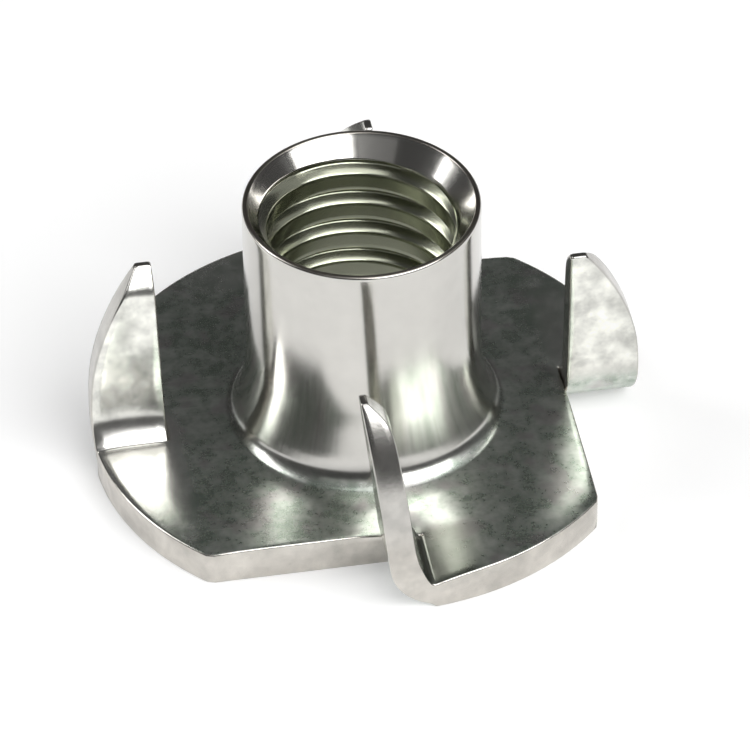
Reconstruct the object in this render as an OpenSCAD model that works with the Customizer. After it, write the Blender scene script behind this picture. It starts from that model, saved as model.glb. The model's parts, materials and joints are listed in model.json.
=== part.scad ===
// Four-prong tee nut, drawn and folded from one round blank of sheet steel.
// Millimetres. The origin is on the barrel's axis at the underside of the flange,
// and +Z points up the barrel. Each prong is a flap of the blank, sheared along a
// straight slit and folded upright, so the rim of the blank becomes its curved edge.

/* [Barrel] */
// Outside diameter of the barrel
barrel_d = 9; // [8.6:0.1:9.6]
// Overall height, from the underside of the flange to the mouth of the barrel
height = 11.15; // [9.65:0.1:15.65]
// Diameter of the tapped hole at the crests of its thread
bore_d = 7.1; // [6.6:0.1:7.5]
// Depth of the flared mouth
mouth_depth = 1.2; // [0.6:0.1:2]
// Thickness left at the lip of the mouth
lip_t = 0.2; // [0.1:0.05:0.5]
// Radius of the sweep from the barrel into the top of the flange
foot_r = 1.6; // [1.2:0.1:2.2]

/* [Flange] */
// Diameter of the round blank
flange_d = 21.15; // [20.15:0.1:23.65]
// Thickness of the sheet
sheet_t = 1.45; // [1.15:0.05:1.8]
// Distance of each slit from the axis
slit_offset = 7.75; // [7.55:0.05:8.3]
// Width of the slit beside a prong
slit_gap = 0.2; // [0.1:0.05:0.3]
// Length trimmed off the point of each lobe
corner_trim = 0.15; // [0.05:0.05:0.45]

/* [Prongs] */
// Number of prongs
prong_count = 4; // [3:1:4]
// Height of the prong tips above the underside of the flange
prong_h = 8.45; // [6.75:0.1:9.55]
// Thickness of a prong above its heel
prong_t = 1.1; // [0.9:0.05:1.35]
// Thickness of a prong just below its tip
prong_tip_t = 0.9; // [0.7:0.05:0.9]
// Lean of the prongs away from the fold, in degrees
prong_lean = 5; // [0.5:0.5:8]
// Width of the tip along the prong
tip_w = 0.45; // [0.25:0.05:0.9]
// Thickness of the chisel edge at the tip
tip_land = 0.2; // [0.1:0.05:0.4]
// Height of the chisel bevel on the inner face
tip_bevel_h = 0.9; // [0.3:0.1:1.3]
// Spread of the curved edge past the rim of the blank
edge_spread = 0.1; // [0.05:0.05:0.25]

/* [Fold] */
// Offset of the fold's start from the centre line
fold_x = 1.45; // [1.25:0.1:1.75]
// Outer radius of the fold
bend_r = 2.25; // [1.95:0.1:2.45]
// Radius of the heel that backs the fold on its inner side
heel_r = 5.6; // [4.6:0.5:7.6]
// Height of the heel above the underside of the flange
heel_h = 4.15; // [3.65:0.1:4.65]
// Reach of the dished area past the fold's start
dish_reach = 1; // [0.6:0.1:1.6]
// Slope of the dished area, in degrees
dish_slope = 11; // [6:1:14]

/* [Hidden] */

$fn = 96;
// Overlap between shapes that join, and the reach of cuts past what they cut
join = 0.2;
past = 1;

barrel_r = barrel_d / 2;
bore_r = bore_d / 2;
flange_r = flange_d / 2;

// The sweep ends on the flange at this radius, where the lobes take over.
foot_end = barrel_r + foot_r;
// The rounded entry under the flange runs from the bore out to the same radius.
entry_r = foot_end - bore_r;

// Each slit meets the blank's rim at a corner, which lies at this angle.
corner_angle = acos(slit_offset / flange_r);

// The prong's straight edge lies past the slit.
prong_edge = slit_offset + slit_gap;
// The curved edge is an arc about this height, and passes the end of the tip.
edge_arc_r = flange_r + edge_spread;
edge_arc_z = prong_h - sqrt(pow(edge_arc_r, 2) - pow(prong_edge + tip_w, 2));
// The flange dips from here down to the fold.
dish_x = fold_x + dish_reach;

// A point in the prong's side view, where u runs across the leaning prong and v
// runs up it from the centre of the fold.
function on_prong(u, v) = [
    fold_x + u * cos(prong_lean) - v * sin(prong_lean),
    bend_r + u * sin(prong_lean) + v * cos(prong_lean)
];
tip_v = (prong_h - bend_r + bend_r * sin(prong_lean)) / cos(prong_lean);
heel_v = (heel_h - bend_r) / cos(prong_lean);
bevel_v = tip_v - tip_bevel_h;
// The inner face tapers from the heel to the tip.
taper = atan((prong_t - prong_tip_t) / (tip_v - heel_v));
function inner_u(v) = prong_t - bend_r - (v - heel_v) * tan(taper);
// The heel's arc crosses the inner face at a very small angle, which keeps the
// crossing sharp in the solid at any taper.
heel_cross = 3;
heel_turn = taper - heel_cross;
heel_u = inner_u(heel_v) + heel_r * cos(heel_turn);

// Half section of the drawn barrel, swept foot, rounded entry and flared mouth.
module barrel_section() {
    difference() {
        union() {
            square([barrel_r, height]);
            square([foot_end + join, sheet_t]);
            difference() {
                square([foot_end, sheet_t + foot_r]);
                translate([foot_end, sheet_t + foot_r]) circle(foot_r);
            }
        }
        translate([-past, -past]) square([bore_r + past, height + past + past]);
        difference() {
            translate([0, -past]) square([foot_end, entry_r + past]);
            translate([foot_end, entry_r]) circle(entry_r);
        }
        polygon([
            [0, height - mouth_depth],
            [bore_r, height - mouth_depth],
            [barrel_r - lip_t, height],
            [barrel_r - lip_t, height + past],
            [0, height + past]
        ]);
    }
}

// Plan of the flat lobes, with a window beside each slit where a flap was folded up.
module lobe_plan() {
    difference() {
        square(flange_d + past, center = true);
        circle(foot_end);
        for (i = [0 : prong_count - 1]) rotate(i * 360 / prong_count) {
            translate([-flange_d, -flange_d])
                square([flange_d + fold_x, flange_d - slit_offset]);
            translate([-flange_d, -flange_d])
                square([flange_d + dish_x, flange_d - prong_edge - join]);
            rotate(-corner_angle) translate([flange_r - corner_trim, -flange_r])
                square(flange_d);
        }
    }
}

// Side view of one prong: flat root, rounded fold and tapering blade.
module prong_side() {
    difference() {
        union() {
            intersection() {
                translate([fold_x, bend_r]) circle(bend_r);
                translate([fold_x - bend_r - past, -past]) square(bend_r + past);
            }
            polygon([
                [fold_x, 0],
                [dish_x + join, 0],
                [dish_x + join, prong_h],
                on_prong(-bend_r, tip_v),
                on_prong(-bend_r, 0),
                [fold_x, bend_r]
            ]);
        }
        prong_hollow();
    }
}

// What lies above the dished root and inside the heel, blade and chisel bevel.
module prong_hollow() {
    intersection() {
        polygon([
            [dish_x - flange_r, sheet_t - flange_r * tan(dish_slope)],
            [dish_x, sheet_t],
            [dish_x + flange_r, sheet_t],
            [dish_x + flange_r, prong_h + flange_r],
            [dish_x - flange_r, prong_h + flange_r]
        ]);
        union() {
            translate(on_prong(heel_u, heel_v + heel_r * sin(heel_turn))) circle(heel_r);
            polygon([
                on_prong(inner_u(heel_v - join), heel_v - join),
                on_prong(inner_u(bevel_v), bevel_v),
                on_prong(tip_land - bend_r, tip_v),
                on_prong(tip_land - bend_r, tip_v + past),
                on_prong(flange_r, tip_v + past),
                on_prong(flange_r, heel_v - join)
            ]);
        }
    }
}

// Front view of one prong, outwards from the axis: straight slit edge, curved rim edge.
module prong_front() {
    intersection() {
        translate([prong_edge, -past]) square([flange_r, prong_h + past]);
        union() {
            translate([0, edge_arc_z]) circle(edge_arc_r);
            translate([0, -past]) square([edge_arc_r, edge_arc_z + past]);
        }
    }
}

// One folded prong, where its side view and its front view meet.
module prong() {
    intersection() {
        rotate([90, 0, 0]) linear_extrude(flange_d) prong_side();
        translate([-flange_r, 0, 0]) rotate([90, 0, 90]) mirror([1, 0])
            linear_extrude(flange_d) prong_front();
    }
}

module tee_nut() {
    color([0.74, 0.75, 0.74]) union() {
        rotate_extrude() barrel_section();
        intersection() {
            cylinder(r = flange_r, h = prong_h + past);
            union() {
                linear_extrude(sheet_t) lobe_plan();
                for (i = [0 : prong_count - 1]) rotate(i * 360 / prong_count) prong();
            }
        }
    }
}

tee_nut();
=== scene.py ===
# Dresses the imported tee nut: one detailed steel mesh over its solid, a floor, soft lamps and a camera.
import json
import math
from types import SimpleNamespace

import bpy
import numpy as np
from mathutils import Matrix, Vector


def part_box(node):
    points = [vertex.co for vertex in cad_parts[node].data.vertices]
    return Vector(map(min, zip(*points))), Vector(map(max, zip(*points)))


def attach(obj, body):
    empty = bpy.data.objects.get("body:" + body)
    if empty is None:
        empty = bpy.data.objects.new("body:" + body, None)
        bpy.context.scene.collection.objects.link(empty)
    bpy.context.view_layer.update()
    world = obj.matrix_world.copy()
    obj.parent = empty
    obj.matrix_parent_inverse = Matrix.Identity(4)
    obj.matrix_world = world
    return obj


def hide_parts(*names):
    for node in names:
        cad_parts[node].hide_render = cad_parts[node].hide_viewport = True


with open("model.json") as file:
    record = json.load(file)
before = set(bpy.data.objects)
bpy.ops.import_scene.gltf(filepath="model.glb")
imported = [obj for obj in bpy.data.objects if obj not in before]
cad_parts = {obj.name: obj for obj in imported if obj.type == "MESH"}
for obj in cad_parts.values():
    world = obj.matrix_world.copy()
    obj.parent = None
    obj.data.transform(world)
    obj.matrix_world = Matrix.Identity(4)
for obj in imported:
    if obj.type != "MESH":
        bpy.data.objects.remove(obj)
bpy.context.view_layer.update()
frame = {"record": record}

# ---------------------------------------------------------------- sizes
# Shapes are drawn on a barrel of radius 4, and one drawing unit is this many metres.
node_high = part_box("tee_nut")[1]
mounts = {m["name"]: m for m in frame["record"]["mounts"]}
BARREL_R = 4.0
UNIT = mounts["barrel"]["dims"]["r_mm"] / BARREL_R / 1000
FLANGE_R = node_high.x / UNIT
HEIGHT = node_high.z / UNIT
BORE_R = mounts["thread"]["dims"]["r_mm"] / 1000 / UNIT
SHEET_T = mounts["flange_seat"]["pos_m"][2] / UNIT

# Where the foot of the barrel meets the flat flange, and the rounded entry under the flange.
FOOT_END = 5.4
ENTRY_R = FOOT_END - BORE_R

# 5/16-18 thread, in metres before it is divided by the unit.
PITCH = 0.001411 / UNIT
MAJOR_R = 0.00397 / UNIT
FLANK_ANGLE = math.radians(30)
# On the -Y side a turn of the groove starts at this height, and others at every pitch from it.
THREAD_PHASE = 0.52
# Below this height the bore is the plain rounded entry.
THREAD_FOOT = 0.55
# The groove is averaged over these shifts along the pitch, which wears its edges round.
THREAD_WEAR = (-0.03, -0.015, 0.0, 0.015, 0.03)
# Points this close to the end circles of the thread are moved onto them.
THREAD_SNAP = 0.01

# The mouth is a cone: its radius just inside the lip, and how fast it narrows downwards.
MOUTH_R = 3.80
MOUTH_SLOPE = 0.78

# Distances from the centre line of the slit's inner side and of the prong's straight edge.
SLIT_Y = 6.9
PRONG_Y = 6.915
# The prong's curved edge is an arc about this height. Near the fold it is the blank's rim, spread
# a little, and the two are blended this sharply.
EDGE_ARC_R = 9.5
EDGE_ARC_Z = 1.6
EDGE_BULGE = 0.10
EDGE_BULGE_RISE = (0.3, 1.6)
EDGE_BLEND = 9.0
# Radius of the sheet's rounded edges.
ROUND = 0.06

# ---------------------------------------------------------------- grid
# Columns run round the axis from -Y, and each quarter is centred on the side of one prong.
QUARTER = 64
HALF = QUARTER // 2
COLUMNS = 4 * QUARTER
STEP = math.tau / COLUMNS
# The columns of a quarter where its fold starts and where its lobe's corner is.
SLIT_COLUMN = 5
CORNER_COLUMN = 30
# Rows from the foot out to the slit, and from the slit out to the rim.
DISC_ROWS = 12
STRIP_ROWS = 9
# Rows along one pitch, closest together at the edges of the groove.
THREAD_ROWS = [0.0, 0.025, 0.07, 0.13, 0.185, 0.215, 0.24, 0.29, 0.34, 0.37, 0.395, 0.45, 0.51,
               0.56, 0.585, 0.62, 0.75, 0.95, 1.12, 1.21]
# Rows of the mouth, as depths below the top, and of the entry, as parts of its height.
MOUTH_ROWS = (0.08, 0.16, 0.25, 0.34)
ENTRY_ROWS = (0.75, 0.52, 0.34, 0.2, 0.1, 0.04, 0.008)
# Rows on the flat part of a sheared wall.
WALL_ROWS = (0.25, 0.5, 0.75)

# ---------------------------------------------------------------- prongs
# Across the prong, the fold starts at this distance and turns up round this radius, to an angle
# in degrees. The blade leans on from there.
BEND_X = 1.3
BEND_R = 2.0
BEND_END = 85
LEAN = math.radians(5)


def bend(angle):
    """Outer face of the fold at an angle from its start."""
    a = math.radians(angle)
    return (BEND_X - BEND_R * math.sin(a), BEND_R - BEND_R * math.cos(a))


def blade(height):
    """Outer face of the blade at a height."""
    foot_x, foot_z = bend(BEND_END)
    return (foot_x - (height - foot_z) * math.tan(LEAN), height)


# Side view of a prong, station by station: inner face and outer face, x and height.
STATIONS = [
    ((0.80, 1.055), bend(19)),
    ((0.73, 1.068), bend(27)),
    ((0.66, 1.108), bend(36)),
    ((0.60, 1.190), bend(45)),
    ((0.545, 1.300), bend(54)),
    ((0.485, 1.440), bend(62)),
    ((0.42, 1.600), bend(70)),
    ((0.35, 1.790), bend(77)),
    ((0.29, 1.980), bend(BEND_END)),
    ((0.235, 2.220), blade(2.15)),
    ((0.185, 2.520), blade(2.50)),
    ((0.14, 2.900), blade(2.90)),
    ((0.105, 3.300), blade(3.33)),
    ((0.07, 3.750), blade(3.80)),
    ((0.03, 4.250), blade(4.30)),
    ((-0.02, 4.750), blade(4.80)),
    ((-0.07, 5.250), blade(5.30)),
    ((-0.125, 5.750), blade(5.80)),
    ((-0.175, 6.150), blade(6.18)),
    ((-0.225, 6.420), blade(6.45)),
    ((-0.280, 6.640), blade(6.68)),
    ((-0.340, 6.800), blade(6.85)),
    ((-0.415, 6.940), blade(6.98)),
    ((-0.520, 7.075), blade(7.12)),
    ((-0.650, 7.210), blade(7.26)),
    ((-0.800, 7.350), blade(7.38)),
    ((-0.920, 7.465), blade(7.465)),
]
# The inner face of a prong is hollow by this much between its edges, and the hollow comes in and
# runs out over these heights.
HOLLOW = 0.05
HOLLOW_START = (1.5, 3.0)
HOLLOW_END = (7.2, 5.5)

# Lists over the prongs start with the one towards -Y and go round by +X, +Y and -X.
LEFT_PRONG = 3
# The prong towards -X has a fuller fillet behind its fold.
FULL_FILLET = [(0.84, 1.255), (0.79, 1.290), (0.735, 1.340), (0.675, 1.402), (0.61, 1.475),
               (0.545, 1.560), (0.48, 1.655), (0.415, 1.765), (0.355, 1.885), (0.30, 2.030),
               (0.245, 2.230), (0.19, 2.540)]
# How far each prong's tip was bent from its place when it was made, along X, Y and Z, and the
# height, length and power of the curve that brings the shift in.
TIP_SHIFT = [(-0.10, 0.0, 0.0), (0.0, 0.10, -0.12), (0.36, 0.10, -0.04), (-0.10, 0.0, 0.0)]
TIP_START = 1.6
TIP_LENGTH = 5.9
TIP_POWER = 1.3

# Depth of the dished area beside each fold. It starts at this distance along the slit and deepens
# over a length. It fades out towards the axis, and behind the fold.
DISH_DEPTH = [0.28, 0.28, 0.28, 0.06]
DISH_START = 3.1
DISH_LENGTH = 2.4
DISH_SIDE = (-5.6, -7.0)
DISH_BEHIND = (-1.6, 1.2)
# The rim's top edge was drawn down by the blanking punch, from this radius outwards. The roll
# fades out over the first stations of a prong.
ROLL_R = 8.1
ROLL_DEPTH = 0.08
ROLL_STATIONS = 7
# How strongly the sheet beside each fold is lightened with a painted highlight; below 0 it is darkened
# with painted shade.
# The mark fades out over these distances along the slit, towards the axis and behind the fold.
PAINTED_FOLD_LIGHT = [-0.85, 0.5, 0.3, 1.0]
PAINTED_FOLD_REACH = [(2.9, 1.9), (7.0, 2.5), (7.0, 2.5), (7.0, 2.5)]
PAINTED_FOLD_SIDE = (6.2, 7.0)
PAINTED_FOLD_BEHIND = (-1.6, 0.5)


def smoothstep(low, high, value):
    t = min(1.0, max(0.0, (value - low) / (high - low)))
    return t * t * (3 - 2 * t)


def dish(x, y, turn):
    """Depth by which the top of the sheet is drawn down beside a fold."""
    reach = min(1.0, max(0.0, (DISH_START - x) / DISH_LENGTH))
    along = DISH_DEPTH[turn] * reach ** 3
    return along * smoothstep(*DISH_SIDE, y) * smoothstep(*DISH_BEHIND, x)


def rim_roll(x, y):
    """Depth by which the rim's top edge is drawn down."""
    part = max(0.0, (math.hypot(x, y) - ROLL_R) / (FLANGE_R - ROLL_R))
    return ROLL_DEPTH * part ** 2


def sheet_top(x, y, turn):
    """Height of the sheet's top, dished beside the folds and rolled down at the rim."""
    return SHEET_T - dish(x, y, turn) - rim_roll(x, y)


def painted_light(x, y, turn):
    """How much painted highlight, or below 0 painted shade, the sheet's top gets at a point beside a
    fold.
    """
    beyond = smoothstep(*PAINTED_FOLD_SIDE, -y)
    reach = smoothstep(*PAINTED_FOLD_REACH[turn], x)
    return PAINTED_FOLD_LIGHT[turn] * beyond * reach * smoothstep(*PAINTED_FOLD_BEHIND, x)


def outer_edge(x, z):
    """Distance of the rim from the centre line at a point of the prong's side view."""
    arc = math.sqrt(EDGE_ARC_R ** 2 - (z - EDGE_ARC_Z) ** 2)
    rim = math.sqrt((FLANGE_R + EDGE_BULGE * smoothstep(*EDGE_BULGE_RISE, z)) ** 2 - x * x)
    # A soft minimum keeps a crease out of the edge.
    return -math.log(math.exp(-EDGE_BLEND * arc) + math.exp(-EDGE_BLEND * rim)) / EDGE_BLEND


# ---------------------------------------------------------------- sheet
# The sheet's points are of three kinds: the disc inside the slits, the strip of each lobe outside
# its slit, and the folded prong that grows out of the strip.
DISC = "disc"
STRIP = "strip"
FOLD = "fold"


def spin(point, turn):
    """A point turned about the axis by quarter turns."""
    c, s = [(1, 0), (0, 1), (-1, 0), (0, -1)][turn]
    x, y, z = point
    return (x * c - y * s, x * s + y * c, z)


class Blank:
    """The slit and folded sheet as pairs of points, one on each face."""

    def __init__(self):
        self.top, self.bottom, self.faces, self.where = [], [], [], {}
        self.prong, self.painted_light = [], []

    def add(self, turn, key, top, bottom, prong=None):
        self.where[(turn,) + key] = len(self.top)
        self.top.append(spin(top, turn))
        self.bottom.append(spin(bottom, turn))
        self.prong.append(prong)
        # How much painted highlight, or below 0 painted shade, this point gets.
        self.painted_light.append(painted_light(top[0], top[1], turn))

    def at(self, turn, kind, i, j):
        """The pair at a column and row. Neighbouring kinds share the pairs where they meet."""
        if kind == DISC and i >= HALF:
            turn, i = (turn + 1) % 4, i - QUARTER
        if kind == STRIP and j == 0:
            return self.at(turn, DISC, i, DISC_ROWS)
        if kind == FOLD and i == 0:
            return self.where[(turn, STRIP, SLIT_COLUMN, j)]
        return self.where[(turn, kind, i, j)]

    def face(self, turn, *corners):
        self.faces.append([self.at(turn, *corner) for corner in corners])


def add_disc(blank, turn):
    """One quarter of the flange from the foot out to the slit or the rim."""
    rim = FLANGE_R - ROUND
    for i in range(-HALF, HALF):
        a = i * STEP
        far = rim if abs(i) > CORNER_COLUMN else (SLIT_Y - ROUND) / math.cos(a)
        for j in range(DISC_ROWS + 1):
            r = FOOT_END + (far - FOOT_END) * j / DISC_ROWS
            x, y = r * math.sin(a), -r * math.cos(a)
            blank.add(turn, (DISC, i, j), (x, y, sheet_top(x, y, turn)), (x, y, 0))


def add_strip(blank, turn):
    """The part of a lobe between the line of its slit and the rim."""
    rim = FLANGE_R - ROUND
    for i in range(SLIT_COLUMN, CORNER_COLUMN + 1):
        x = SLIT_Y * math.tan(i * STEP)
        start, end = SLIT_Y - ROUND, math.sqrt(rim ** 2 - x * x)
        first = start + min(PRONG_Y - SLIT_Y + 2 * ROUND, (end - start) / 2)
        for m in range(1, STRIP_ROWS + 1):
            y = -(first + (end - first) * (m - 1) / (STRIP_ROWS - 1))
            blank.add(turn, (STRIP, i, m), (x, y, sheet_top(x, y, turn)), (x, y, 0))


def add_fold(blank, turn):
    """The prong, from the strip round its fold to its tip."""
    near = PRONG_Y + ROUND
    for t, (inner, outer) in enumerate(STATIONS, 1):
        if turn == LEFT_PRONG and t <= len(FULL_FILLET):
            inner = FULL_FILLET[t - 1]
        for m in range(1, STRIP_ROWS + 1):
            part = (m - 1) / (STRIP_ROWS - 1)
            pair = []
            for x, z in (inner, outer):
                y = near + (outer_edge(x, z) - ROUND - near) * part
                pair.append((x, -y, z))
            x, y, z = pair[0]
            hollow = HOLLOW * 4 * part * (1 - part) * smoothstep(*HOLLOW_START, z)
            z -= rim_roll(x, y) * max(0.0, 1 - t / ROLL_STATIONS)
            pair[0] = (x - hollow * smoothstep(*HOLLOW_END, z), y, z)
            blank.add(turn, (FOLD, t, m), pair[0], pair[1], turn)


def add_faces(blank, turn):
    """The faces of one quarter of the flange and of its prong."""
    for i in range(-HALF, HALF):
        for j in range(DISC_ROWS):
            blank.face(turn, (DISC, i, j), (DISC, i, j + 1), (DISC, i + 1, j + 1), (DISC, i + 1, j))
    for i in range(SLIT_COLUMN, CORNER_COLUMN):
        for m in range(STRIP_ROWS):
            blank.face(turn, (STRIP, i, m), (STRIP, i, m + 1), (STRIP, i + 1, m + 1), (STRIP, i + 1, m))
    for m in range(STRIP_ROWS):
        i = CORNER_COLUMN
        blank.face(turn, (STRIP, i, m), (STRIP, i, m + 1), (DISC, i + 1, DISC_ROWS))
    for t in range(len(STATIONS)):
        for m in range(1, STRIP_ROWS):
            blank.face(turn, (FOLD, t + 1, m), (FOLD, t + 1, m + 1), (FOLD, t, m + 1), (FOLD, t, m))


def make_blank():
    blank = Blank()
    for turn in range(4):
        add_disc(blank, turn)
        add_strip(blank, turn)
        add_fold(blank, turn)
    for turn in range(4):
        add_faces(blank, turn)
    return blank


def outer_loop(blank):
    """The blank's outer boundary as an ordered loop of pairs."""
    sides = set()
    for face in blank.faces:
        sides.update(zip(face, face[1:] + face[:1]))
    following = {a: b for a, b in sides if (b, a) not in sides}
    start = blank.at(0, DISC, HALF, DISC_ROWS)
    loop, spot = [start], following[start]
    while spot != start:
        loop.append(spot)
        spot = following[spot]
    return loop


# ---------------------------------------------------------------- closed mesh
class Shell:
    """Points and faces of one closed mesh. Cut is 1 on sheared edges."""

    def __init__(self):
        self.points, self.faces, self.cut, self.painted_light, self.prong = [], [], [], [], []

    def add(self, point, cut=0.0, prong=None, painted=0.0):
        self.points.append(tuple(point))
        self.cut.append(cut)
        # Painted highlight, or below 0 painted shade, beside a fold.
        self.painted_light.append(painted)
        self.prong.append(prong)
        return len(self.points) - 1

    def face(self, corners):
        clean = [c for n, c in enumerate(corners) if c != corners[n - 1]]
        if len(set(clean)) > 2:
            self.faces.append(clean)


def wall_rows(high, low, along):
    """Points down the sheared wall between a pair, with its two edges rounded."""
    slant = math.sqrt(0.5)
    up = (high - low) / np.linalg.norm(high - low)
    out = np.cross(along, up)
    out /= np.linalg.norm(out)
    rows = [high + ROUND * (out * slant - up * (1 - slant)), high + ROUND * (out - up)]
    lower = [low + ROUND * (out + up), low + ROUND * (out * slant + up * (1 - slant))]
    first, last = rows[-1], lower[0]
    return rows + [first + (last - first) * part for part in WALL_ROWS] + lower


def add_blank(shell, blank):
    """Both faces of the sheet and the rounded wall round its boundary."""
    top = [shell.add(p, 0.0, k, b) for p, k, b in zip(blank.top, blank.prong, blank.painted_light)]
    bottom = [shell.add(p, 0.0, k) for p, k in zip(blank.bottom, blank.prong)]
    for face in blank.faces:
        shell.face([top[v] for v in face])
        shell.face([bottom[v] for v in reversed(face)])
    loop = outer_loop(blank)
    middle = np.array([(np.array(blank.top[v]) + np.array(blank.bottom[v])) / 2 for v in loop])
    tangent = np.roll(middle, -1, 0) - np.roll(middle, 1, 0)
    rings = []
    for n, v in enumerate(loop):
        rows = wall_rows(np.array(blank.top[v]), np.array(blank.bottom[v]), tangent[n])
        made = [shell.add(p, 1.0, blank.prong[v]) for p in rows]
        rings.append([top[v]] + made + [bottom[v]])
    for one, two in zip(rings, rings[1:] + rings[:1]):
        for n in range(len(one) - 1):
            shell.face([one[n], one[n + 1], two[n + 1], two[n]])
    inner_top, inner_bottom = [0] * COLUMNS, [0] * COLUMNS
    for turn in range(4):
        for i in range(-HALF, HALF):
            v = blank.at(turn, DISC, i, 0)
            inner_top[(turn * QUARTER + i) % COLUMNS] = top[v]
            inner_bottom[(turn * QUARTER + i) % COLUMNS] = bottom[v]
    return inner_top, inner_bottom


# The foot from the flange up to the barrel: radius, and height above the sheet's top. It flares
# slowly, then turns out in a tight ring, which ends in a flat step with a faint die mark.
FOOT = [(5.30, 0.0), (5.18, 0.001), (5.06, 0.003), (4.95, 0.007), (4.85, 0.013),
        (4.77, 0.022), (4.71, 0.036), (4.665, 0.058), (4.625, 0.084), (4.59, 0.112), (4.555, 0.145),
        (4.52, 0.182), (4.487, 0.222), (4.455, 0.267), (4.425, 0.315), (4.398, 0.365), (4.372, 0.420),
        (4.350, 0.475), (4.325, 0.550), (4.293, 0.660), (4.253, 0.790), (4.208, 0.960), (4.167, 1.145),
        (4.126, 1.350), (4.085, 1.600), (4.05, 1.860), (4.025, 2.100), (4.008, 2.350), (4.0, 2.650),
        (4.0, 3.4), (4.0, 4.4), (4.0, 5.4), (4.0, 6.4), (4.0, 7.4), (4.0, 8.2)]
# The ring reaches this much further towards an angle than away from it. The shift comes in and
# goes out over these radii.
RING_SHIFT = 0.13
RING_ANGLE = math.radians(-75)
RING_INSIDE = (4.2, 4.7)
RING_OUTSIDE = (5.3, 4.9)
# The lip of the mouth: radius, and depth below the top. The mouth's cone starts where it ends.
LIP = [(4.0, 0.16), (3.997, 0.10), (3.986, 0.058), (3.968, 0.029), (3.945, 0.010), (3.92, 0.0),
       (3.88, 0.0), (3.83, 0.002), (3.81, 0.012), (3.798, 0.03)]
LIP_DEPTH = LIP[-1][1]
OUTSIDE = [(r, SHEET_T + h) for r, h in FOOT] + [(r, HEIGHT - d) for r, d in LIP]


def ring(shell, r, z):
    """A circle of points on the shared columns, the first one towards -Y."""
    made = []
    reach = 0.0
    if z > SHEET_T:
        reach = RING_SHIFT * smoothstep(*RING_INSIDE, r) * smoothstep(*RING_OUTSIDE, r)
    for a in range(COLUMNS):
        angle = -math.pi / 2 + a * STEP
        far = r + reach * math.cos(angle - RING_ANGLE)
        made.append(shell.add((far * math.cos(angle), far * math.sin(angle), z)))
    return made


def join_rings(shell, rings):
    """Faces between circles that run from the flange's top over the barrel and down its bore."""
    for one, two in zip(rings, rings[1:]):
        for a in range(COLUMNS):
            b = (a + 1) % COLUMNS
            shell.face([two[a], one[a], one[b], two[b]])


def mouth_radius(z):
    return MOUTH_R - MOUTH_SLOPE * (HEIGHT - LIP_DEPTH - z)


def entry_radius(z):
    if z >= ENTRY_R:
        return 0.0
    return FOOT_END - math.sqrt(max(0.0, ENTRY_R ** 2 - (ENTRY_R - z) ** 2))


def thread_radius(along):
    """Radius of the tapped groove at a distance along one pitch."""
    depth = MAJOR_R - BORE_R
    flank = depth * math.tan(FLANK_ANGLE)
    root = PITCH / 8
    total = 0.0
    for shift in THREAD_WEAR:
        f = (along + shift) % PITCH
        if f < flank:
            total += f / flank
        elif f < flank + root:
            total += 1
        elif f < 2 * flank + root:
            total += (2 * flank + root - f) / flank
    return BORE_R + depth * total / len(THREAD_WEAR)


def add_thread(shell, high_ring, high_z, low_ring, low_z):
    """The bore between two circles, as a grid that climbs with the thread."""
    per = len(THREAD_ROWS)
    turns = int((high_z - low_z) / PITCH) + 3
    first = low_z - PITCH - ((low_z - THREAD_PHASE) % PITCH)
    heights = [first + n * PITCH + row for n in range(turns) for row in THREAD_ROWS]
    made = {}

    def spot(a, k):
        if a == COLUMNS:
            a, k = 0, k + per
        z = (heights[k] if k < len(heights) else high_z) + PITCH * a / COLUMNS
        if z > high_z - THREAD_SNAP:
            return high_ring[a]
        if z < low_z + THREAD_SNAP:
            return low_ring[a]
        if (a, k) not in made:
            r = max(thread_radius(heights[k] - first), mouth_radius(z), entry_radius(z))
            angle = -math.pi / 2 + a * STEP
            made[(a, k)] = shell.add((r * math.cos(angle), r * math.sin(angle), z))
        return made[(a, k)]

    for a in range(COLUMNS):
        for k in range(len(heights) - 1):
            shell.face([spot(a, k), spot(a, k + 1), spot(a + 1, k + 1), spot(a + 1, k)])


def bend_tips(shell):
    """Moves each prong's points by more towards its tip."""
    for n, turn in enumerate(shell.prong):
        if turn is not None:
            x, y, z = shell.points[n]
            part = max(0.0, (z - TIP_START) / TIP_LENGTH) ** TIP_POWER
            dx, dy, dz = TIP_SHIFT[turn]
            shell.points[n] = (x + dx * part, y + dy * part, z + dz * part)


def make_nut():
    """The whole nut as one closed shell, in drawing units."""
    shell = Shell()
    top_ring, bottom_ring = add_blank(shell, make_blank())
    high_z = HEIGHT - (MOUTH_R - MAJOR_R) / MOUTH_SLOPE
    outside = [top_ring] + [ring(shell, r, z) for r, z in OUTSIDE]
    outside += [ring(shell, mouth_radius(HEIGHT - d), HEIGHT - d) for d in MOUTH_ROWS]
    high = ring(shell, mouth_radius(high_z), high_z)
    join_rings(shell, outside + [high])
    low = ring(shell, entry_radius(THREAD_FOOT), THREAD_FOOT)
    add_thread(shell, high, high_z, low, THREAD_FOOT)
    heights = [THREAD_FOOT * part for part in ENTRY_ROWS]
    entry = [ring(shell, entry_radius(z), z) for z in heights]
    join_rings(shell, [low] + entry + [bottom_ring])
    bend_tips(shell)
    return shell


def mesh_object(name, shell):
    """A smooth mesh in metres that carries the cut edges and the painted light beside the folds on its
    points.
    """
    points = np.array(shell.points) * UNIT
    mesh = bpy.data.meshes.new(name)
    mesh.from_pydata(points.tolist(), [], shell.faces)
    mesh.validate()
    mesh.polygons.foreach_set("use_smooth", [True] * len(mesh.polygons))
    for kind, values in (("cut", shell.cut), ("painted_light", shell.painted_light)):
        layer = mesh.attributes.new(kind, "FLOAT", "POINT")
        layer.data.foreach_set("value", np.array(values, np.float32))
    made = bpy.data.objects.new(name, mesh)
    bpy.context.scene.collection.objects.link(made)
    return made


# ---------------------------------------------------------------- node tools
MM = 0.001


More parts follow.
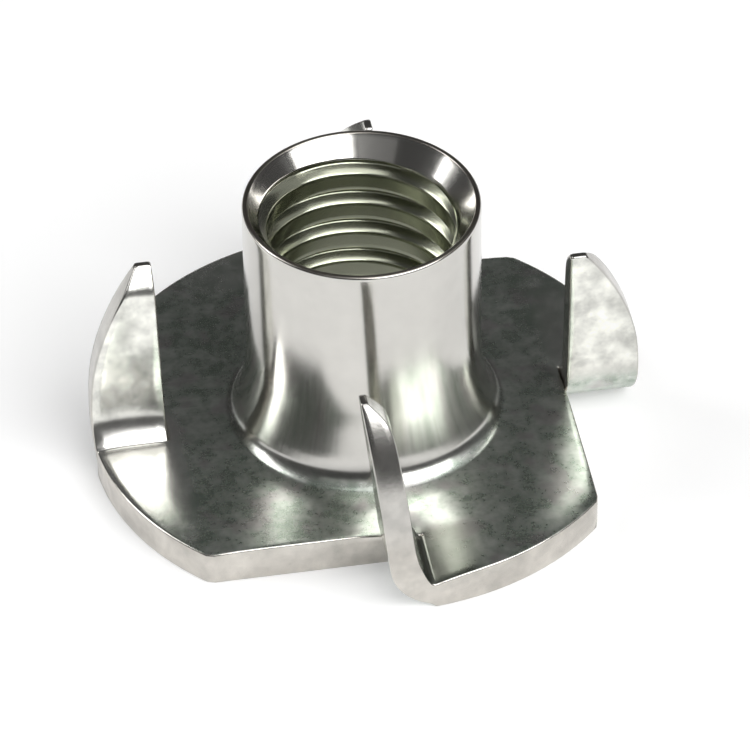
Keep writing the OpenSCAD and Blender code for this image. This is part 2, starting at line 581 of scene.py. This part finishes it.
class Graph:
    """Short calls for building a material's node tree."""

    def __init__(self, tree):
        self.nodes, self.links = tree.nodes, tree.links

    def put(self, value, socket):
        if isinstance(value, bpy.types.NodeSocket):
            self.links.new(value, socket)
        else:
            socket.default_value = value

    def math(self, operation, *values):
        node = self.nodes.new("ShaderNodeMath")
        node.operation = operation
        for value, socket in zip(values, node.inputs):
            self.put(value, socket)
        return node.outputs[0]

    def mix(self, weights, first, second):
        """The sum of two values, each times its weight."""
        one = self.math("MULTIPLY", first, weights[0])
        two = self.math("MULTIPLY", second, weights[1])
        return self.math("ADD", one, two)

    def times(self, *values):
        """The product of values."""
        total = values[0]
        for value in values[1:]:
            total = self.math("MULTIPLY", total, value)
        return total

    def step(self, value, low, high, start=0.0, end=1.0):
        """A smooth step from start to end as the value goes from low to high."""
        node = self.nodes.new("ShaderNodeMapRange")
        node.interpolation_type = "SMOOTHSTEP"
        settings = {"Value": value, "From Min": low, "From Max": high, "To Min": start, "To Max": end}
        for name, setting in settings.items():
            self.put(setting, node.inputs[name])
        return node.outputs[0]

    def over(self, value, limits, start=0.0, end=1.0):
        """A smooth step as a distance goes over two limits in millimetres."""
        return self.step(value, limits[0] * MM, limits[1] * MM, start, end)

    def layer(self, name):
        """A number stored on the mesh's points."""
        node = self.nodes.new("ShaderNodeAttribute")
        node.attribute_name = name
        return node.outputs["Fac"]

    def noise(self, where, scale, detail, roughness, stretch=None, turn=0.0):
        """Noise over the object, stretched along axes that are turned by an angle in degrees."""
        if stretch:
            mapping = self.nodes.new("ShaderNodeMapping")
            mapping.inputs["Scale"].default_value = stretch
            mapping.inputs["Rotation"].default_value = (0, 0, math.radians(turn))
            self.links.new(where, mapping.inputs["Vector"])
            where = mapping.outputs[0]
        node = self.nodes.new("ShaderNodeTexNoise")
        self.links.new(where, node.inputs["Vector"])
        node.inputs["Scale"].default_value = scale
        node.inputs["Detail"].default_value = detail
        node.inputs["Roughness"].default_value = roughness
        return node.outputs["Fac"]

    def blend(self, part, first, second):
        """A colour or a number that goes from first to second with part."""
        if isinstance(second, bpy.types.NodeSocket):
            coloured = second.type == "RGBA"
        else:
            coloured = isinstance(second, tuple)
        node = self.nodes.new("ShaderNodeMix")
        node.data_type = "RGBA" if coloured else "FLOAT"
        kind = "RGBA" if coloured else "VALUE"
        ends = [i for i in node.inputs if i.type == kind and i.name in ("A", "B")]
        self.put(part, node.inputs["Factor"])
        self.put(first, ends[0])
        self.put(second, ends[1])
        return [o for o in node.outputs if o.type == kind][0]


# ---------------------------------------------------------------- steel
BARREL_COLOUR = (0.63, 0.617, 0.585, 1)
FLANGE_DARK = (0.35, 0.412, 0.348, 1)
FLANGE_LIGHT = (0.67, 0.70, 0.652, 1)
FLANGE_WARM = (0.49, 0.452, 0.458, 1)
# A painted highlight beside three folds, and painted shade beside the fold towards -Y.
PAINTED_HIGHLIGHT_COLOUR = (0.74, 0.73, 0.70, 1)
PAINTED_SHADE_COLOUR = (0.17, 0.182, 0.154, 1)
# Painted shade in the crease at the sides of the foot.
CREASE_SHADE_COLOUR = (0.155, 0.148, 0.135, 1)
SCRATCH_COLOUR = (0.75, 0.775, 0.725, 1)
BORE_COLOUR = (0.44, 0.455, 0.36, 1)
PRONG_COLOUR = (0.79, 0.79, 0.74, 1)
CUT_COLOUR = (0.575, 0.55, 0.508, 1)
PRONG_RIM_COLOUR = (0.52, 0.507, 0.48, 1)
LIP_COLOUR = (0.37, 0.345, 0.308, 1)

# Limits in millimetres over which each part of the nut's surface comes in: heights, and distances
# from the axis.
FLANGE_TOP = (1.55, 2.6)
FLANGE_INSIDE = (4.75, 5.35)
PRONG_FOOT = (1.6, 2.8)
PRONG_INSIDE = (6.0, 7.0)
BORE_OUTSIDE = (4.10, 4.00)
BORE_TOP = (10.4, 10.1)
LIP_FOOT = (11.10, 11.14)
LIP_INSIDE = (4.2, 4.25)
# The cut edge goes from the rim's colour to the prong's over these heights.
RIM_RISE = (2.6, 4.6)
# The crease at both sides of the foot is darkened with painted shade.
CREASE_INSIDE = (4.98, 5.12)
CREASE_OUTSIDE = (5.42, 5.24)
CREASE_FOOT = (1.40, 1.44)
CREASE_SIDE = (4.2, 4.9)
PAINTED_CREASE_SHADE = 0.55

# Scale per metre, detail and roughness of each noise.
BROAD = (380, 2, 0.5)
BLOTCH = (1700, 2.5, 0.55)
GRAIN = (6000, 3, 0.6)
TINT = (700, 2, 0.5)
PATCH = (950, 3, 0.6)
LINES = (100, 3, 0.6)
# The noise behind the scratches is drawn out into lines, which are turned by an angle in degrees.
LINES_STRETCH = (3, 70, 3)
LINES_TURN = 28

# Weights of the noises that are added up: the broad one and the blotches in the mottling, the
# mottling and the grain in the flange's colour, the mottling and the patches in the plate's
# shade, and the blotches and the grain in the bump.
MOTTLE_WEIGHTS = (0.40, 0.60)
SPECKLE_WEIGHTS = (0.85, 0.15)
SHADE_WEIGHTS = (0.4, 0.6)
BUMP_WEIGHTS = (0.8, 0.06)
# Limits of a noise between which a mark comes in.
SPECKLE_LIMITS = (0.36, 0.66)
WARM_LIMITS = (0.50, 0.66)
SCRATCH_LIMITS = (0.62, 0.74)
MOTTLE_LIMITS = (0.35, 0.65)
GRAIN_LIMITS = (0.3, 0.7)

# How strongly the colour varies in patches on the barrel, the prongs and the cut edges.
BARREL_PATCHES = 0.06
PRONG_PATCHES = 0.62
CUT_PATCHES = 0.30
PATCH_CONTRAST = 4.0
# How far the warm tint and the scratches show on the flange.
WARM = 0.6
SCRATCHED = 0.45

BARREL_ROUGHNESS = 0.15
FLANGE_ROUGHNESS = (0.265, 0.292)
PAINTED_HIGHLIGHT_ROUGHNESS = 0.19
PRONG_ROUGHNESS = 0.22
BORE_ROUGHNESS = 0.20
CUT_ROUGHNESS = 0.21
LIP_ROUGHNESS = 0.30
# The grain adds this much to every roughness, from its low limit to its high one.
GRAIN_ROUGHNESS = (-0.006, 0.012)

BARREL_BUMP = 0.03
FLANGE_BUMP = 0.16
ROUGH_BUMP = 0.35
BUMP_DEPTH = 0.02 * MM

FLANGE_METALLIC = 0.96
SPECULAR_LEVEL = 0.3
# The barrel and bore are polished round and round, which draws reflections out across the polish.
# The anisotropy is turned by this part of a full turn.
POLISHED = 0.5
POLISH_TURN = 0.25


def find_zones(g, where):
    """How far each point lies in each part of the nut, from 0 to 1."""
    split = g.nodes.new("ShaderNodeSeparateXYZ")
    g.links.new(where, split.inputs[0])
    x, y, z = split.outputs
    radius = g.math("SQRT", g.math("ADD", g.times(x, x), g.times(y, y)))
    crease = g.times(g.over(radius, CREASE_INSIDE), g.over(radius, CREASE_OUTSIDE))
    crease = g.times(crease, g.over(z, CREASE_FOOT))
    return SimpleNamespace(
        flange=g.times(g.over(z, FLANGE_TOP, 1.0, 0.0), g.over(radius, FLANGE_INSIDE)),
        prong=g.times(g.over(z, PRONG_FOOT), g.over(radius, PRONG_INSIDE)),
        bore=g.times(g.over(radius, BORE_OUTSIDE), g.over(z, BORE_TOP)),
        lip=g.times(g.over(z, LIP_FOOT), g.over(radius, LIP_INSIDE)),
        # Painted shade in the crease at both sides of the foot.
        painted_crease_shade=g.times(crease, g.over(g.math("ABSOLUTE", x), CREASE_SIDE, 0.0, PAINTED_CREASE_SHADE)),
        raised=g.over(z, RIM_RISE),
        cut=g.layer("cut"),
        # Where the highlight and the shade beside the folds are painted.
        painted_highlight=g.math("MAXIMUM", g.layer("painted_light"), 0.0),
        painted_shade=g.math("MAXIMUM", g.times(g.layer("painted_light"), -1.0), 0.0),
    )


def find_marks(g, where):
    """The noises that the plate's colour, roughness and bump share."""
    blotch = g.noise(where, *BLOTCH)
    lines = g.noise(where, *LINES, stretch=LINES_STRETCH, turn=LINES_TURN)
    return SimpleNamespace(
        blotch=blotch,
        grain=g.noise(where, *GRAIN),
        tint=g.noise(where, *TINT),
        patch=g.noise(where, *PATCH),
        scratch=g.step(lines, *SCRATCH_LIMITS),
        mottle=g.mix(MOTTLE_WEIGHTS, g.noise(where, *BROAD), blotch),
    )


def flange_colour(g, zones, marks):
    """Dull grey green with lighter mottling, warm stains and scratches, a painted highlight beside three
    folds and painted shade beside the fold towards -Y.
    """
    speckle = g.mix(SPECKLE_WEIGHTS, marks.mottle, marks.grain)
    colour = g.blend(g.step(speckle, *SPECKLE_LIMITS), FLANGE_DARK, FLANGE_LIGHT)
    colour = g.blend(g.step(marks.tint, *WARM_LIMITS, 0.0, WARM), colour, FLANGE_WARM)
    colour = g.blend(g.times(marks.scratch, SCRATCHED), colour, SCRATCH_COLOUR)
    # Painted highlight beside the folds, then painted shade beside the fold towards -Y.
    colour = g.blend(zones.painted_highlight, colour, PAINTED_HIGHLIGHT_COLOUR)
    return g.blend(zones.painted_shade, colour, PAINTED_SHADE_COLOUR)


def steel_colour(g, zones, marks):
    """The plate's colour over the whole nut, lighter and darker in patches."""
    colour = g.blend(zones.flange, BARREL_COLOUR, flange_colour(g, zones, marks))
    colour = g.blend(zones.prong, colour, PRONG_COLOUR)
    colour = g.blend(zones.bore, colour, BORE_COLOUR)
    colour = g.blend(zones.cut, colour, g.blend(zones.raised, CUT_COLOUR, PRONG_RIM_COLOUR))
    colour = g.blend(zones.lip, colour, LIP_COLOUR)
    # Painted shade in the crease at both sides of the foot.
    colour = g.blend(zones.painted_crease_shade, colour, CREASE_SHADE_COLOUR)
    amount = g.blend(zones.cut, g.blend(zones.prong, BARREL_PATCHES, PRONG_PATCHES), CUT_PATCHES)
    spread = g.math("SUBTRACT", g.mix(SHADE_WEIGHTS, marks.mottle, marks.patch), 0.5)
    shade = g.nodes.new("ShaderNodeHueSaturation")
    g.put(g.math("ADD", 1.0, g.times(spread, amount, PATCH_CONTRAST)), shade.inputs["Value"])
    g.put(colour, shade.inputs["Color"])
    return shade.outputs[0]


def steel_roughness(g, zones, marks):
    """Glossiest on the barrel and dullest on the lip and flange."""
    flange = g.step(marks.mottle, *MOTTLE_LIMITS, *FLANGE_ROUGHNESS)
    rough = g.blend(zones.flange, BARREL_ROUGHNESS, flange)
    rough = g.blend(g.times(zones.painted_highlight, zones.flange), rough, PAINTED_HIGHLIGHT_ROUGHNESS)
    rough = g.blend(zones.prong, rough, PRONG_ROUGHNESS)
    rough = g.blend(zones.bore, rough, BORE_ROUGHNESS)
    rough = g.blend(zones.cut, rough, CUT_ROUGHNESS)
    rough = g.blend(zones.lip, rough, LIP_ROUGHNESS)
    return g.math("ADD", rough, g.step(marks.grain, *GRAIN_LIMITS, *GRAIN_ROUGHNESS))


def steel_bump(g, zones, marks):
    """Faint waviness, strongest on the prongs and cut edges."""
    bump = g.nodes.new("ShaderNodeBump")
    bump.inputs["Distance"].default_value = BUMP_DEPTH
    strength = g.blend(zones.flange, BARREL_BUMP, FLANGE_BUMP)
    strength = g.blend(g.math("MAXIMUM", zones.prong, zones.cut), strength, ROUGH_BUMP)
    g.links.new(strength, bump.inputs["Strength"])
    g.links.new(g.mix(BUMP_WEIGHTS, marks.blotch, marks.grain), bump.inputs["Height"])
    return bump.outputs[0]


def add_polish(g, zones, shader):
    """Stretches the reflections where the nut was polished round and round."""
    around = g.nodes.new("ShaderNodeTangent")
    around.direction_type = "RADIAL"
    around.axis = "Z"
    g.links.new(around.outputs[0], shader.inputs["Tangent"])
    dull = g.math("MAXIMUM", zones.flange, g.math("MAXIMUM", zones.prong, zones.cut))
    g.put(g.blend(dull, POLISHED, 0.0), shader.inputs["Anisotropic"])
    shader.inputs["Anisotropic Rotation"].default_value = POLISH_TURN


def steel():
    """Bright zinc plate: polished on the barrel, dull and mottled on the flange, matt where sheared."""
    made = bpy.data.materials.new("steel")
    made.use_nodes = True
    g = Graph(made.node_tree)
    shader = g.nodes["Principled BSDF"]
    where = g.nodes.new("ShaderNodeTexCoord").outputs["Object"]
    zones = find_zones(g, where)
    marks = find_marks(g, where)
    g.links.new(steel_colour(g, zones, marks), shader.inputs["Base Color"])
    g.links.new(steel_roughness(g, zones, marks), shader.inputs["Roughness"])
    g.links.new(steel_bump(g, zones, marks), shader.inputs["Normal"])
    g.put(g.blend(zones.flange, 1.0, FLANGE_METALLIC), shader.inputs["Metallic"])
    shader.inputs["Specular IOR Level"].default_value = SPECULAR_LEVEL
    add_polish(g, zones, shader)
    return made


# ---------------------------------------------------------------- stage
FLOOR_SIZE = 0.6
FLOOR_COLOUR = (0.8, 0.8, 0.8, 1)
# What the camera and reflections see of the floor glows by this much, which makes it white.
FLOOR_GLOW = 0.29
# The world from the horizon up: height, and grey level. A narrow white band hides the floor's end.
SKY = [(0.0, 0.9), (0.02, 0.85), (0.035, 0.07), (1.0, 0.07)]


def add_floor():
    """A matt white floor that keeps the nut's shadow."""
    bpy.ops.mesh.primitive_plane_add(size=FLOOR_SIZE)
    floor = bpy.context.object
    floor.name = "floor"
    made = bpy.data.materials.new("floor")
    made.use_nodes = True
    nodes, links = made.node_tree.nodes, made.node_tree.links
    nodes.remove(nodes["Principled BSDF"])
    paper = nodes.new("ShaderNodeBsdfDiffuse")
    paper.inputs["Color"].default_value = FLOOR_COLOUR
    glow = nodes.new("ShaderNodeEmission")
    rays = nodes.new("ShaderNodeLightPath")
    seen = rays.outputs["Is Camera Ray"]
    for kind in ("Is Glossy Ray", "Is Transmission Ray"):
        either = nodes.new("ShaderNodeMath")
        either.operation = "MAXIMUM"
        links.new(seen, either.inputs[0])
        links.new(rays.outputs[kind], either.inputs[1])
        seen = either.outputs[0]
    level = nodes.new("ShaderNodeMath")
    level.operation = "MULTIPLY"
    level.inputs[1].default_value = FLOOR_GLOW
    links.new(seen, level.inputs[0])
    links.new(level.outputs[0], glow.inputs["Strength"])
    both = nodes.new("ShaderNodeAddShader")
    links.new(paper.outputs[0], both.inputs[0])
    links.new(glow.outputs[0], both.inputs[1])
    links.new(both.outputs[0], nodes["Material Output"].inputs["Surface"])
    floor.data.materials.append(made)


def grey(level):
    return (level, level, level, 1)


def add_world():
    """A dim grey room."""
    world = bpy.data.worlds.new("room")
    bpy.context.scene.world = world
    world.use_nodes = True
    nodes, links = world.node_tree.nodes, world.node_tree.links
    where = nodes.new("ShaderNodeTexCoord")
    split = nodes.new("ShaderNodeSeparateXYZ")
    ramp = nodes.new("ShaderNodeValToRGB")
    links.new(where.outputs["Generated"], split.inputs[0])
    links.new(split.outputs["Z"], ramp.inputs[0])
    links.new(ramp.outputs[0], nodes["Background"].inputs[0])
    stops = ramp.color_ramp.elements
    for stop, (place, level) in zip(stops, (SKY[0], SKY[-1])):
        stop.position = place
        stop.color = grey(level)
    for place, level in SKY[1:-1]:
        stops.new(place).color = grey(level)
    nodes["Background"].inputs[1].default_value = 1.0


# Name, azimuth, elevation, width and height in degrees, and radiance. Azimuth 0 is towards -Y,
# and 90 towards +X.
LAMPS = [
    ("key", 35, 47, 52, 34, 4.7),
    ("top_card", 30, 76, 36, 24, 1.6),
    ("front_card", -28, 50, 32, 24, 0.3),
    ("left_window", -107, 36, 20, 34, 5.0),
    ("right_card", 92, 48, 40, 40, 0.3),
]
LAMP_DISTANCE = 0.5


def add_lamp(name, azimuth, elevation, wide, tall, radiance):
    """A soft box that spans an angle, wide by tall, and faces the origin."""
    a, e = math.radians(azimuth), math.radians(elevation)
    back = Vector((math.sin(a) * math.cos(e), -math.cos(a) * math.cos(e), math.sin(e)))
    light = bpy.data.lights.new(name, "AREA")
    light.shape = "RECTANGLE"
    light.size = 2 * LAMP_DISTANCE * math.tan(math.radians(wide / 2))
    light.size_y = 2 * LAMP_DISTANCE * math.tan(math.radians(tall / 2))
    light.energy = radiance * math.pi * light.size * light.size_y
    lamp = bpy.data.objects.new(name, light)
    lamp.location = back * LAMP_DISTANCE
    lamp.rotation_mode = "QUATERNION"
    lamp.rotation_quaternion = back.to_track_quat("Z", "Y")
    bpy.context.scene.collection.objects.link(lamp)


# The camera that was fitted to the photograph: its angles, its offset and distance in drawing
# units, and its focal length in pixels of the image.
CAMERA_E = math.radians(40.178)
CAMERA_AZ = math.radians(9.0)
CAMERA_ROLL = math.radians(0.847)
CAMERA_OFF = (-0.340, -1.843)
CAMERA_D = 198.05
CAMERA_F = 5763.0
IMAGE_SIZE = 750
SENSOR = 36
CLIP = (0.005, 10)


def add_camera():
    data = bpy.data.cameras.new("camera")
    data.lens = CAMERA_F / IMAGE_SIZE * SENSOR
    data.sensor_width = SENSOR
    data.clip_start, data.clip_end = CLIP
    side = Vector((math.cos(CAMERA_AZ), -math.sin(CAMERA_AZ), 0))
    ahead = Vector((math.sin(CAMERA_AZ), math.cos(CAMERA_AZ), 0))
    up = ahead * math.sin(CAMERA_E) + Vector((0, 0, math.cos(CAMERA_E)))
    forward = ahead * math.cos(CAMERA_E) - Vector((0, 0, math.sin(CAMERA_E)))
    right = side * math.cos(CAMERA_ROLL) - up * math.sin(CAMERA_ROLL)
    above = side * math.sin(CAMERA_ROLL) + up * math.cos(CAMERA_ROLL)
    place = (-right * CAMERA_OFF[0] - above * CAMERA_OFF[1] - forward * CAMERA_D) * UNIT
    camera = bpy.data.objects.new("camera", data)
    turn = Matrix((right, above, -forward)).transposed().to_4x4()
    camera.matrix_world = Matrix.Translation(place) @ turn
    bpy.context.scene.collection.objects.link(camera)
    bpy.context.scene.camera = camera


def main():
    bpy.context.scene.view_settings.view_transform = "Standard"
    nut = mesh_object("nut", make_nut())
    nut.data.materials.append(steel())
    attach(nut, "root")
    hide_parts("tee_nut")
    add_floor()
    add_world()
    for lamp in LAMPS:
        add_lamp(*lamp)
    add_camera()


main()
